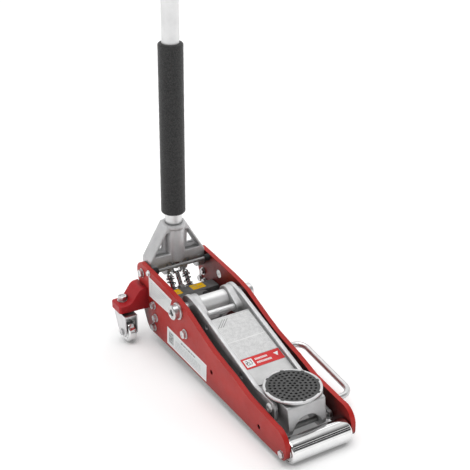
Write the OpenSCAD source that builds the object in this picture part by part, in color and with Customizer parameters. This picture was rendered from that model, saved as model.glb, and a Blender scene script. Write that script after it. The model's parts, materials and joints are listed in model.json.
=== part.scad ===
// Low-profile aluminium trolley jack with a two-piece handle.
// Millimetres, +Z up. The front roller is towards -Y and the handle socket towards +Y.
// A name that ends in _y is a distance behind the front roller's axle, and at() and the
// profile modules centre the jack along Y by taking off mid_y.

/* [Frame] */
// Gap between the two side plates
frame_gap = 120; // [118:1:124]
// Thickness of a side plate
plate_t = 9; // [7:0.5:10]
// Radius of the front roller
roller_r = 21.2; // [18:0.1:21.5]
// Height of the carry handle's outer run beyond the plate
carry_reach = 51.5; // [46:0.5:51.5]
// Diameter of the carry handle's rod
carry_d = 11; // [8:1:11]

/* [Lift] */
// Height of the arm's main pivot
arm_pivot_z = 117; // [114:1:118]
// Height of the saddle's rim with the arm down
saddle_top_z = 87; // [87:0.5:92]
// Diameter of the saddle's rim
saddle_d = 100; // [90:1:100]
// Distance from the main pivot down to the ram's push pin
crank_r = 52; // [50:1:53]
// Diameter of the ram's piston
ram_d = 30; // [24:1:30]

/* [Handle] */
// Outer diameter of the handle tube
tube_d = 31.5; // [28:0.5:32]
// Outer diameter of the foam sleeve
foam_d = 45.5; // [40:0.5:50]
// Length of the foam sleeve
foam_len = 326; // [200:1:340]
// Length of the handle above the yoke's pivot
handle_len = 1000; // [900:10:1100]
// Forward lean of the parked handle in degrees
handle_lean = 1.06; // [0:0.02:1.5]

/* [Casters] */
// Distance of each caster's swivel axis from the centre line
caster_x = 108.4; // [107:0.1:109]
// Radius of a caster wheel
wheel_r = 22; // [20:0.5:22.5]

/* [Hidden] */
$fn = 64;

run_gap = 0.05;                       // radial clearance of a running fit
plate_in = frame_gap / 2;
plate_out = plate_in + plate_t;

// Pivots and fixings as [y, z]
axle_at = [0, roller_r];
arm_at = [337, arm_pivot_z];
tip_at = [66, 64];                    // arm to saddle carrier
link_rear_at = arm_at + [-23.5, -36];
link_front_at = tip_at + [-23.5, -36];
yoke_at = [478, 129];
ear_r = 20.5;
cross_rod_at = [449.5, 141];
block_bolts_at = [[433.5, 81], [426, 57], [433.5, 34]];
bracket_bolts_at = [[472, 99.5], [482, 80], [465, 80]];
tie_hole_at = [412.6, 121];
tie_hole_r = 8;
carry_front_at = [67, 32.7];
carry_rear_at = [220.6, 52];
rear_rod_at = [306, 112];
saddle_y = 72;
caster_y = 487;
wheel_y = 467;
mid_y = (yoke_at[0] + ear_r - roller_r) / 2;

// Ram: the push pin swings from crank_angle behind straight down to the same angle in front
crank_angle = 30;
crank_at = arm_at + crank_r * [sin(crank_angle), -cos(crank_angle)];
ram_r = ram_d / 2;
ram_axis_z = arm_pivot_z - crank_r * (1 + cos(crank_angle)) / 2 - 0.5;
push_pin_r = 9;
push_gap = 0.9;
piston_y = crank_at[0] + push_pin_r + push_gap;
block_y0 = 412;
block_y1 = 440;
block_z0 = 24;
block_z1 = 98;
ram_end_y = 442;

// Pumps and release rod share one tilted frame, whose axes run through the yoke's pivot
pump_tilt = 35;
pump_x = 17;
pump_face = -48;
release_end = -57;
pump_stroke = 8;
yoke_swing = 65;
dome_r = 6;
dome_centre = 20;
cam_gap = 0.35;
cam_rate = pump_stroke / yoke_swing;  // mm of stroke for each degree

module at(y, z, x = 0) translate([x, y - mid_y, z]) children();
module rod_x(x0, x1, r, p) at(p[0], p[1], x0) rotate([0, 90, 0]) cylinder(r = r, h = x1 - x0);
module rod_y(y0, y1, r, x, z) at(y0, z, x) rotate([-90, 0, 0]) cylinder(r = r, h = y1 - y0);
module profile_x(x0, x1)
    translate([x0, -mid_y, 0]) rotate([90, 0, 90]) linear_extrude(x1 - x0) children();
module both_sides() for (side = [0, 1]) mirror([side, 0, 0]) children();
module hex_x(x0, x1, r, p) at(p[0], p[1], x0) rotate([0, 90, 0]) cylinder(r = r, h = x1 - x0, $fn = 6);
module pump_frame(x = 0) at(yoke_at[0], yoke_at[1], x) rotate([-pump_tilt, 0, 0]) children();
module handle_frame() at(yoke_at[0], yoke_at[1]) rotate([handle_lean, 0, 0]) children();

function arc(c, r, a0, a1, n) =
    [for (i = [0 : n]) let (a = a0 + (a1 - a0) * i / n) c + r * [cos(a), sin(a)]];

// Bar with a round end of its own radius at each of two points
module bar_2d(p, pr, q, qr) {
    d = norm(q - p);
    u = (q - p) / d;
    n = [-u[1], u[0]];
    c = (pr - qr) / d;
    s = sqrt(1 - c * c);
    translate(p) circle(r = pr);
    translate(q) circle(r = qr);
    polygon([p + pr * (c * u + s * n), q + qr * (c * u + s * n),
             q + qr * (c * u - s * n), p + pr * (c * u - s * n)]);
}

// Tube between two heights about the local Z axis
module tube_z(z0, z1, r_out, r_in)
    translate([0, 0, z0]) difference() {
        cylinder(r = r_out, h = z1 - z0);
        translate([0, 0, -1]) cylinder(r = r_in, h = z1 - z0 + 2);
    }

// ---- Frame ----

module side_plate_2d() {
    difference() {
        union() {
            translate(yoke_at) circle(r = ear_r);
            polygon(concat(
                [[478, 149.5], [452, 147.5], [368, 141.5], [340, 138], [314, 132.5], [281, 120],
                 [248, 107.5], [215, 96.8], [182, 90], [150, 84], [99, 70.5]],
                arc([16.5, 33.5], 29.5, 82, 180, 9),
                arc([-3, 22], 10, 180, 270, 4),
                [[57, 12], [120, 15], [330, 20], [432, 20], [451, 19.5], [462, 28], [475, 52],
                 [498, 122]]));
        }
        translate(axle_at) circle(r = 7 + run_gap);
        translate(arm_at) circle(r = 12 + run_gap);
        translate(link_rear_at) circle(r = 5 + run_gap);
        translate(yoke_at) circle(r = 6 + run_gap);
        translate(cross_rod_at) circle(r = 2.5 + run_gap);
        translate(carry_front_at) circle(r = 4.25);
        translate(carry_rear_at) circle(r = 4.25);
        for (p = concat(block_bolts_at, bracket_bolts_at)) translate(p) circle(r = 4 + run_gap);
    }
}
module left_side_plate() color("firebrick") profile_x(-plate_out, -plate_in) side_plate_2d();
module right_side_plate()
    color("firebrick") difference() {
        profile_x(plate_in, plate_out) side_plate_2d();
        rod_x(plate_in - 1, plate_out + 1, tie_hole_r, tie_hole_at);
    }

roller_half = plate_in - 1;
module front_roller()
    color("silver") at(axle_at[0], axle_at[1]) rotate([0, 90, 0]) rotate_extrude()
        polygon(concat([[7 + run_gap, -roller_half], [roller_r - 4, -roller_half]],
                       arc([roller_r - 4, -roller_half + 4], 4, -60, 0, 4),
                       arc([roller_r - 4, roller_half - 4], 4, 0, 60, 4),
                       [[roller_r - 4, roller_half], [7 + run_gap, roller_half]]));
module front_axle() color("silver") rod_x(-plate_out, plate_out, 7, axle_at);

cross_rod_r = 3.4;
module cross_rod() color("silver") rod_x(-plate_in, plate_in, cross_rod_r, cross_rod_at);
module cross_rod_caps()
    color("dimgray") both_sides() difference() {
        rod_x(plate_in - 11, plate_in, 6.5, cross_rod_at);
        rod_x(plate_in - 12, plate_in + 1, cross_rod_r + run_gap, cross_rod_at);
    }

module bolt(x_tip, shank_r, head_r, head_t, p) {
    rod_x(x_tip, plate_out, shank_r, p);
    rod_x(plate_out, plate_out + 1.2, head_r + 1.2, p);
    hex_x(plate_out + 1.2, plate_out + 1.2 + head_t, head_r, p);
}
module frame_bolts()
    color("silver") both_sides() {
        for (p = block_bolts_at) bolt(plate_in - 14, 4, 6.8, 5, p);
        bolt(plate_in, 2.5, 5, 3, cross_rod_at);
        hex_x(plate_out, plate_out + 3, 7, axle_at);
    }
module arm_pivot_shaft() color("silver") rod_x(-plate_out - 8, plate_out + 8, 12, arm_at);
module arm_pivot_nuts()
    color("silver") both_sides() difference() {
        union() {
            rod_x(plate_out, plate_out + 3, 16, arm_at);
            rod_x(plate_out + 3, plate_out + 14.6, 13.6, arm_at);
        }
        rod_x(plate_out - 1, plate_out + 8, 12 + run_gap, arm_at);
        hex_x(plate_out + 10, plate_out + 16, 7, arm_at);
    }
module link_pivot_bolts() color("silver") both_sides() bolt(plate_in - 9.8, 5, 8, 5.5, link_rear_at);
module yoke_pivot_bolts() color("silver") both_sides() bolt(plate_in - 16, 6, 7.5, 5, yoke_at);

// U-shaped rod in a plane that holds the two fixing holes and the X axis
module carry_handle() {
    span = norm(carry_rear_at - carry_front_at);
    rise = carry_rear_at - carry_front_at;
    run_x = plate_out + carry_reach;
    bend = 20;
    color("gainsboro") at(carry_front_at[0], carry_front_at[1])
        rotate([atan2(rise[1], rise[0]), 0, 0]) {
            for (y = [0, span]) {
                translate([plate_in + 1, y, 0]) rotate([0, 90, 0])
                    cylinder(r = 4.2, h = plate_t - 1);
                translate([plate_out, y, 0]) rotate([0, 90, 0])
                    cylinder(d = carry_d, h = carry_reach - bend);
            }
            translate([run_x, bend, 0]) rotate([-90, 0, 0])
                cylinder(d = carry_d, h = span - 2 * bend);
            translate([run_x - bend, bend, 0]) rotate([0, 0, -90])
                rotate_extrude(angle = 90) translate([bend, 0]) circle(d = carry_d);
            translate([run_x - bend, span - bend, 0])
                rotate_extrude(angle = 90) translate([bend, 0]) circle(d = carry_d);
        }
}
module carry_handle_nuts()
    color("silver") for (p = [carry_front_at, carry_rear_at]) difference() {
        hex_x(plate_out, plate_out + 5, 8.5, p);
        rod_x(plate_out - 1, plate_out + 6, carry_d / 2 + run_gap, p);
    }

label_t = 0.4;
module side_labels()
    color("white") profile_x(-plate_out - label_t, -plate_out) {
        polygon([[450, 134], [450, 93], [378, 93], [361, 127]]);
        polygon([[381, 62], [383, 26], [239, 22], [237, 57]]);
    }

// ---- Hydraulic unit ----

module power_block()
    color("dimgray") difference() {
        union() {
            profile_x(-plate_in, plate_in)
                polygon([[block_y0, block_z0], [block_y0, block_z1], [block_y1 - 1.4, block_z1],
                         [block_y1, block_z1 - 1], [block_y1, block_z0]]);
            profile_x(-34, 34)
                polygon([[430, block_z0], [430, block_z1], [438.6, block_z1], [462, 81.6],
                         [462, 40], [446, block_z0]]);
        }
        both_sides() for (p = block_bolts_at) rod_x(plate_in - 14, plate_in + 1, 4, p);
        rod_y(block_y0 - 1, block_y0 + 12, ram_r + 6, 0, ram_axis_z);
        rod_y(block_y0, ram_end_y, ram_r + run_gap, 0, ram_axis_z);
        both_sides() pump_frame(pump_x) translate([0, 0, pump_face - 10]) cylinder(r = 9, h = 20);
        pump_frame() translate([0, 0, release_end - 0.5]) cylinder(r = 4.5 + run_gap, h = 20);
    }
module block_stickers()
    color("gold") for (x = [-42, 8]) at(418.5, block_z1, x) cube([28, 18, label_t]);

tank_y0 = 380;
module tank_2d(inset) {
    offset_w = 36 - inset;
    low = 34 + inset;
    high = 97 - inset;
    corner = 12 - inset;
    for (x = [-offset_w + corner, offset_w - corner])
        for (z = [low + corner, high - corner]) translate([x, z]) circle(r = corner);
    translate([-offset_w, low + corner]) square([2 * offset_w, high - low - 2 * corner]);
    translate([-offset_w + corner, low]) square([2 * (offset_w - corner), high - low]);
}
module reservoir_tank()
    color("gray") difference() {
        at(block_y0, 0) rotate([90, 0, 0]) linear_extrude(block_y0 - tank_y0) tank_2d(0);
        at(block_y0 + 1, 0) rotate([90, 0, 0]) linear_extrude(block_y0 - tank_y0 - 3) tank_2d(4);
        rod_y(tank_y0 - 1, block_y0, ram_r + 6 + run_gap, 0, ram_axis_z);
        at(396, 90, 22) cylinder(r = 4, h = 10);
    }
module filler_plug()
    color("dimgray") at(396, 0, 22) {
        translate([0, 0, 93.5]) cylinder(r = 4 - run_gap, h = 3.5);
        translate([0, 0, 97]) cylinder(r = 6, h = 2.5);
    }
module ram_cylinder()
    color("gray") difference() {
        rod_y(piston_y + 4, block_y0 + 12, ram_r + 6, 0, ram_axis_z);
        rod_y(piston_y, block_y0 + 13, ram_r + run_gap, 0, ram_axis_z);
    }
module ram_piston()
    color("silver") difference() {
        rod_y(piston_y, ram_end_y - 3, ram_r, 0, ram_axis_z);
        at(piston_y - 1, ram_axis_z) rotate([-90, 0, 0]) cylinder(r = 5, h = 3);
    }

module pump_barrels()
    color("darkgray") both_sides() pump_frame(pump_x) difference() {
        translate([0, 0, pump_face - 10]) cylinder(r = 9, h = 11);
        translate([0, 0, pump_face - 11]) cylinder(r = 4.5 + run_gap, h = 16);
    }
module pump_plungers()
    color("silver") both_sides() pump_frame(pump_x) {
        translate([0, 0, -dome_centre]) sphere(r = dome_r);
        translate([0, 0, -dome_centre - 2.5]) cylinder(r = dome_r, h = 2.5);
        translate([0, 0, -dome_centre - 4.5]) cylinder(r = 8.4, h = 2);
        translate([0, 0, -dome_centre - 29]) cylinder(r = 4.5, h = 25);
    }

// Closed tube of small rings swept along a coil about the local Z axis
function coil_ring(coil_r, wire_r, turns, z0, z1, i, n, sides) =
    let (a = 360 * turns * i / n, z = z0 + (z1 - z0) * i / n)
        [for (k = [0 : sides - 1]) let (b = 360 * k / sides, r = coil_r + wire_r * cos(b))
            [r * cos(a), r * sin(a), z + wire_r * sin(b)]];
module coil(coil_r, wire_r, turns, z0, z1) {
    sides = 6;
    n = ceil(turns * 12);
    last = n * sides;
    points = [for (i = [0 : n]) each coil_ring(coil_r, wire_r, turns, z0, z1, i, n, sides)];
    walls = [for (i = [0 : n - 1], k = [0 : sides - 1]) let (k2 = (k + 1) % sides)
        [i * sides + k, i * sides + k2, (i + 1) * sides + k2, (i + 1) * sides + k]];
    caps = [[for (k = [sides - 1 : -1 : 0]) k], [for (k = [0 : sides - 1]) last + k]];
    polyhedron(points, concat(walls, caps), convexity = 10);
}
module pump_springs()
    color("dimgray") both_sides() pump_frame(pump_x)
        coil(7.4, 0.9, 3, pump_face + 2, -dome_centre - 5.5);

fork_ear_r = 5;
module release_rod()
    color("silver") pump_frame() {
        both_sides() translate([6.3, 0, 0]) rotate([0, 90, 0]) cylinder(r = fork_ear_r, h = 3);
        both_sides() translate([6.3, -fork_ear_r, -16]) cube([3, 2 * fork_ear_r, 16]);
        translate([0, 0, -18]) cylinder(r = 9.3, h = 4);
        translate([0, 0, release_end]) cylinder(r = 4.5, h = -17 - release_end);
    }
module release_gland()
    color("silver") pump_frame() difference() {
        translate([0, 0, pump_face]) cylinder(r = 7.4, h = 6, $fn = 6);
        translate([0, 0, pump_face - 1]) cylinder(r = 4.5 + run_gap, h = 8);
    }

// ---- Casters ----

bracket_z0 = 63.5;
bracket_z1 = 77.5;
bracket_x = 126;
bracket_y1 = 498.4;
module caster_bracket()
    color("firebrick") difference() {
        intersection() {
            at(500, 0) rotate([90, 0, 0]) linear_extrude(60)
                polygon(concat([[plate_out, bracket_z0], [bracket_x, bracket_z0],
                                [bracket_x, bracket_z1]],
                               arc([113, 95.5], 18, 270, 217, 5), arc([75.5, 91.2], 15, 37, 90, 5),
                               [[plate_out, 106.6]]));
            at(0, 50) linear_extrude(70)
                polygon([[plate_out, 457], [82, 458.5], [123, 461.5], [bracket_x, 464.5],
                         [bracket_x, bracket_y1 - 3], [bracket_x - 3, bracket_y1],
                         [plate_out, bracket_y1]]);
        }
        at(caster_y, 50, caster_x) cylinder(r = 5 + run_gap, h = 60);
        at(caster_y, bracket_z1, caster_x) cylinder(r = 10.3, h = 40);
        for (p = bracket_bolts_at) rod_x(plate_out - 1, plate_out + 11, 4, p);
    }
module left_caster_bracket() mirror([1, 0, 0]) caster_bracket();
module right_caster_bracket() caster_bracket();
module caster_bracket_bolts()
    color("silver") both_sides() for (p = bracket_bolts_at) {
        rod_x(plate_in, plate_out + 10, 4, p);
        rod_x(plate_in - 1.2, plate_in, 7.6, p);
        hex_x(plate_in - 5.4, plate_in - 1.2, 6.4, p);
    }

fork_top = 60;
fork_half = 12.5;
fork_t = 2;
fork_y0 = 451;
fork_y1 = 498;
module caster_swivel_bolts()
    color("silver") both_sides() at(caster_y, 0, caster_x) {
        translate([0, 0, bracket_z1]) cylinder(r = 9.6, h = 1.4);
        translate([0, 0, bracket_z1 + 1.4]) cylinder(r = 8.8, h = 8.2, $fn = 6);
        translate([0, 0, 51]) cylinder(r = 5, h = bracket_z1 - 51);
        translate([0, 0, fork_top + 0.3]) cylinder(r = 11, h = bracket_z0 - fork_top - 0.6);
        translate([0, 0, 51]) cylinder(r = 7.5, h = fork_top - fork_t - 0.3 - 51, $fn = 6);
    }
module both_sides_of(x) translate([x, 0, 0]) both_sides() children();
module fork_cheek() profile_x(fork_half - fork_t, fork_half) {
    polygon([[fork_y0, fork_top], [fork_y1, fork_top], [fork_y1, fork_top - 10],
             [wheel_y + 15, wheel_r - 1], [wheel_y + 7, wheel_r - 8], [wheel_y - 9, wheel_r - 8],
             [fork_y0, wheel_r + 1]]);
}
module caster_fork()
    color("silver") difference() {
        union() {
            both_sides_of(caster_x) fork_cheek();
            at(fork_y0, fork_top - fork_t, caster_x - fork_half)
                cube([2 * fork_half, fork_y1 - fork_y0, fork_t]);
        }
        at(caster_y, 40, caster_x) cylinder(r = 5 + run_gap, h = 30);
        rod_x(caster_x - 20, caster_x + 20, 3, [wheel_y, wheel_r]);
    }
module caster_axle()
    color("silver") {
        rod_x(caster_x - fork_half, caster_x + fork_half, 3, [wheel_y, wheel_r]);
        both_sides_of(caster_x) hex_x(fork_half, fork_half + 3.6, 6.4, [wheel_y, wheel_r]);
    }
module caster_wheel()
    color("silver") at(wheel_y, wheel_r, caster_x) rotate([0, 90, 0]) rotate_extrude()
        polygon([[3 + run_gap, -9.2], [6, -9.2], [6.5, -4.5], [14, -4.5], [16, -7.5],
                 [wheel_r - 2, -7.5], [wheel_r, -5.5], [wheel_r, 5.5], [wheel_r - 2, 7.5],
                 [16, 7.5], [14, 4.5], [6.5, 4.5], [6, 9.2], [3 + run_gap, 9.2]]);
module left_caster_fork() mirror([1, 0, 0]) caster_fork();
module left_caster_axle() mirror([1, 0, 0]) caster_axle();
module left_caster_wheel() mirror([1, 0, 0]) caster_wheel();
module right_caster_fork() caster_fork();
module right_caster_axle() caster_axle();
module right_caster_wheel() caster_wheel();

// ---- Lift arm ----

arm_in = 41;
arm_out = 49;
boss_in = 28;
arm_tip_r = 14.2;
arm_lobe_r = 24;
module arm_plate_2d() {
    translate(tip_at) circle(r = arm_tip_r);
    translate(tip_at) polygon([[-13.8, 2], [-13.8, -19], [-10, -23], [0, -23], [18, -14]]);
    translate(arm_at) circle(r = arm_lobe_r);
    polygon([tip_at + [0, arm_tip_r], [112, 78.2], [305, 136.4], arm_at + [0, arm_lobe_r],
             arm_at - [0, arm_lobe_r], [250, 66], [110, 47], tip_at - [0, arm_tip_r]]);
}
module lift_arm_side()
    color("darkgray") difference() {
        union() {
            profile_x(arm_in, arm_out) arm_plate_2d();
            profile_x(boss_in, arm_in) bar_2d(arm_at, 22, rear_rod_at, 11);
            profile_x(boss_in, 38) bar_2d(arm_at, 22, crank_at, 13);
        }
        rod_x(0, 60, 12 + run_gap, arm_at);
        rod_x(0, arm_in, 6 + run_gap, rear_rod_at);
        rod_x(0, 60, push_pin_r + run_gap, crank_at);
        rod_x(0, 60, 6, tip_at);
        for (p = [[272, 111], [154, 76]]) rod_x(arm_in - 1, arm_out + 1, 5, p);
    }
module left_lift_arm() mirror([1, 0, 0]) lift_arm_side();
module right_lift_arm() lift_arm_side();
module arm_pivot_tube()
    color("silver") difference() {
        rod_x(-boss_in, boss_in, 15.5, arm_at);
        rod_x(-boss_in - 1, boss_in + 1, 12 + run_gap, arm_at);
    }
module arm_rear_rod() color("silver") rod_x(-arm_in, arm_in, 6, rear_rod_at);

// The cover's own frame starts at its front edge, with local Y along the sheet
cover_slope = 16.4;
cover_len = 164.5;
cover_t = 3.5;
module cover_frame() at(117, 73.4) rotate([cover_slope, 0, 0]) children();
module arm_cover()
    color("gainsboro") cover_frame() {
        translate([-arm_in, 0, -cover_t]) cube([2 * arm_in, cover_len, cover_t]);
        both_sides() translate([arm_in - 3.5, 14, -cover_t - 9]) cube([3.5, cover_len - 28, 9]);
    }
module cover_panel() color("white") cover_frame() translate([-38, 62.5, 0]) cube([76, 98, label_t]);
module cover_band() color("red") cover_frame() translate([-39, 37.5, 0]) cube([78, 24, label_t]);
module crank_pin()
    color("silver") {
        rod_x(-38, 38, push_pin_r, crank_at);
        both_sides() rod_x(38, 47, 4, crank_at);
    }
module arm_front_bolts()
    color("silver") both_sides() {
        rod_x(18, arm_out, 6, tip_at);
        at(tip_at[0], tip_at[1], arm_out) rotate([0, 90, 0]) rotate_extrude()
            polygon(concat([[0, 0], [8, 0]], arc([4.5, 0.8], 2.6, 0, 90, 5), [[0, 3.4]]));
    }

spring_x = 44;
module return_springs()
    color("dimgray") both_sides() at(0, 0, spring_x) {
        front = crank_at[0] + 4.2;
        translate([0, 0, crank_at[1]]) rotate([-90, 0, 0]) {
            coil(3.6, 0.7, 9, front + 2.5, block_y0 - 6);
            translate([3.6, 0, front]) cylinder(r = 0.7, h = 2.6, $fn = 16);
            translate([3.6, 0, block_y0 - 6.1]) cylinder(r = 0.7, h = 6.1, $fn = 16);
        }
    }

link_in = 50.5;
link_out = 55.5;
module link_bars()
    color("darkgray") both_sides() difference() {
        profile_x(link_in, link_out) bar_2d(link_rear_at, 10, link_front_at, 9);
        rod_x(link_in - 1, link_out + 1, 5 + run_gap, link_rear_at);
        rod_x(link_in - 1, link_out + 1, 5.6, link_front_at);
    }

// ---- Saddle ----

carrier_half = 37.5;
module saddle_carrier()
    color("darkgray") difference() {
        profile_x(-carrier_half, carrier_half)
            polygon(concat(arc([35.5, 72], 5.5, 180, 90, 4), [[95, 77.5], [98, 74], [98, 58]],
                           [[84, 33], [62, 18], [36, 18], [26, 28], [24.5, 36]]));
        rod_y(15, 99, 28.5, 0, 26.5);
        at(saddle_y, 55) cylinder(r = 12 + run_gap, h = 30);
        both_sides() rod_x(17, carrier_half + 1, 6 + run_gap, tip_at);
        rod_x(-40, 40, 5, link_front_at);
    }
module carrier_link_pin()
    color("silver") {
        rod_x(-57, 57, 5, link_front_at);
        both_sides() rod_x(56.2, 58.4, 7, link_front_at);
    }
cup_z = saddle_top_z - 8.1;
module saddle_cup()
    color("silver") at(saddle_y, 0) rotate_extrude()
        polygon([[0, 56], [12, 56], [12, cup_z], [saddle_d / 2 - 4, cup_z],
                 [saddle_d / 2, cup_z + 3], [saddle_d / 2, saddle_top_z],
                 [saddle_d / 2 - 4.8, saddle_top_z], [saddle_d / 2 - 4.8, cup_z + 3.6],
                 [0, cup_z + 3.6]]);
module saddle_pad()
    color("dimgray") at(saddle_y, cup_z + 3.6) cylinder(r = saddle_d / 2 - 5, h = 4.1);

// ---- Handle ----

tube_r = tube_d / 2;
socket_top = 92;
column_r = 20.5;
tube_z0 = 16;
joint_z = 540;
neck_z0 = 488;
grip_z0 = 860;
foam_z0 = 112;
button_z = 515;

// Cam whose edge stays cam_gap off the plunger's dome over the whole swing. The edge is held
// back past the swing's end until it is clear of the last dome's contact.
cam_angles = [for (span = [[-42, 3, -3], [0, 2.5, yoke_swing], [yoke_swing + 6, 3, yoke_swing + 28]])
    for (a = [span[0] : span[1] : span[2]]) a];
function cam_centre(a) = dome_centre + cam_rate * min(max(a, 0), yoke_swing);
function cam_point(a) =
    let (c = cam_centre(a), k = (a < 0 || a > yoke_swing) ? 0 : cam_rate * 180 / PI,
         off = (dome_r + cam_gap) / norm([c, k]), t = a - pump_tilt - handle_lean)
        c * (1 - off) * [sin(t), -cos(t)] + off * k * [cos(t), sin(t)];
module cam_2d() polygon(concat([[-12, 16]], [for (a = cam_angles) cam_point(a)], [[18, 16]]));

module yoke_outline()
    polygon([[-19, socket_top], [19, socket_top], [58, 26], [58, 14], [-58, 14], [-58, 26]]);
module handle_yoke()
    color("darkgray") handle_frame() difference() {
        union() {
            translate([0, 18, 0]) rotate([90, 0, 0]) linear_extrude(33) difference() {
                yoke_outline();
                both_sides() polygon([[15, 33], [48.5, 33], [22.5, 77], [15, 77]]);
            }
            translate([0, 3.5, 0]) rotate([90, 0, 0]) linear_extrude(7) difference() {
                yoke_outline();
                both_sides() polygon([[26, 40], [42, 40], [27, 66]]);
            }
            translate([0, 0, 14]) cylinder(r = column_r, h = socket_top - 14);
            translate([0, 0, socket_top - 9]) cylinder(r = column_r + 1.8, h = 9);
            both_sides() {
                translate([44, 0, 0]) rotate([0, 90, 0]) cylinder(r = 16, h = 14);
                translate([44, -16, 0]) cube([14, 32, 15]);
                translate([24, -15, 0]) cube([21, 13, 15]);
                translate([12, 0, 0]) rotate([90, 0, 90]) linear_extrude(10) cam_2d();
            }
        }
        translate([0, 0, 5]) cylinder(r = tube_r + run_gap, h = 100);
        rotate([0, 90, 0]) translate([0, 0, -60]) cylinder(r = 6 + run_gap, h = 30);
        rotate([0, 90, 0]) translate([0, 0, 30]) cylinder(r = 6 + run_gap, h = 30);
        translate([0, 10, 60]) rotate([-90, 0, 0]) cylinder(r = 4, h = 20);
    }
module handle_set_screw()
    color("dimgray") handle_frame() translate([0, tube_r + 0.4, 60]) rotate([-90, 0, 0])
        difference() {
            cylinder(r = 4, h = 5);
            translate([0, 0, 3]) cylinder(r = 2.2, h = 3, $fn = 6);
        }
module handle_drive_fork()
    color("silver") handle_frame() {
        translate([0, 0, tube_z0]) cylinder(r = tube_r - 2.5, h = 20);
        translate([0, 0, 14]) cylinder(r = 9.3, h = 3);
        rotate([0, 0, 90]) both_sides() {
            translate([6.3, 0, 0]) rotate([0, 90, 0]) cylinder(r = fork_ear_r, h = 3);
            translate([6.3, -fork_ear_r, 0]) cube([3, 2 * fork_ear_r, 15]);
        }
        sphere(r = 4.8);
        rotate([90, 0, 0]) translate([0, 0, -7]) cylinder(r = 2.2, h = 14);
        rotate([0, 90, 0]) translate([0, 0, -5.5]) cylinder(r = 2.2, h = 11);
    }
module lower_handle_tube()
    color("gainsboro") handle_frame() difference() {
        tube_z(tube_z0, joint_z, tube_r, tube_r - 2.5);
        translate([0, 0, button_z]) rotate([-90, 0, 0]) cylinder(r = 4 + run_gap, h = 30);
    }
module foam_sleeve()
    color("dimgray") handle_frame() rotate_extrude()
        polygon(concat([[tube_r + run_gap, foam_z0]],
                       arc([foam_d / 2 - 3, foam_z0 + 3], 3, -90, 0, 4),
                       arc([foam_d / 2 - 3, foam_z0 + foam_len - 3], 3, 0, 90, 4),
                       [[tube_r + run_gap, foam_z0 + foam_len]]));
module upper_handle_tube()
    color("gainsboro") handle_frame() difference() {
        union() {
            translate([0, 0, neck_z0]) cylinder(r = tube_r - 2.5 - run_gap, h = joint_z - neck_z0);
            translate([0, 0, joint_z]) cylinder(r = tube_r, h = handle_len - 12 - joint_z);
        }
        translate([0, 0, neck_z0 - 1]) cylinder(r = 11, h = handle_len);
        translate([0, 0, button_z]) rotate([-90, 0, 0]) cylinder(r = 4 + run_gap, h = 30);
    }
module handle_snap_button()
    color("silver") handle_frame() translate([0, 0, button_z]) rotate([-90, 0, 0]) {
        translate([0, 0, 7]) cylinder(r = 5.2, h = 2);
        translate([0, 0, 8]) cylinder(r = 4, h = 10);
    }
module handle_grip()
    color("dimgray") handle_frame() rotate_extrude()
        polygon(concat([[tube_r + run_gap, grip_z0], [tube_r + 2, grip_z0]],
                       [for (z = [grip_z0 + 10 : 10 : handle_len - 20]) each
                           [[tube_r + 3, z - 4], [tube_r + 3, z + 2], [tube_r + 2.2, z + 3]]],
                       arc([tube_r - 3, handle_len - 6], 6, 0, 90, 5),
                       [[0, handle_len], [0, handle_len - 12], [tube_r + run_gap, handle_len - 12]]));

left_side_plate();
right_side_plate();
front_roller();
front_axle();
cross_rod();
cross_rod_caps();
frame_bolts();
arm_pivot_shaft();
arm_pivot_nuts();
link_pivot_bolts();
yoke_pivot_bolts();
carry_handle();
carry_handle_nuts();
side_labels();
power_block();
block_stickers();
reservoir_tank();
filler_plug();
ram_cylinder();
ram_piston();
pump_barrels();
pump_plungers();
pump_springs();
release_rod();
release_gland();
left_caster_bracket();
right_caster_bracket();
caster_bracket_bolts();
caster_swivel_bolts();
left_caster_fork();
left_caster_axle();
left_caster_wheel();
right_caster_fork();
right_caster_axle();
right_caster_wheel();
left_lift_arm();
right_lift_arm();
arm_pivot_tube();
arm_rear_rod();
arm_cover();
cover_panel();
cover_band();
crank_pin();
arm_front_bolts();
return_springs();
link_bars();
saddle_carrier();
carrier_link_pin();
saddle_cup();
saddle_pad();
handle_yoke();
handle_set_screw();
handle_drive_fork();
lower_handle_tube();
foam_sleeve();
upper_handle_tube();
handle_snap_button();
handle_grip();
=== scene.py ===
"""Looks of a low-profile aluminium trolley jack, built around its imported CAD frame.

+Z up, front roller towards -Y. The scene is in metres. Profiles, outlines and film marks are in
millimetres, in frames that hold the scale, such as MILLIMETRES, HANDLE and PUMP.
"""

import json
import math
import random

import bmesh
import bpy
from mathutils import Matrix, Vector
from mathutils.geometry import tessellate_polygon


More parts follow.
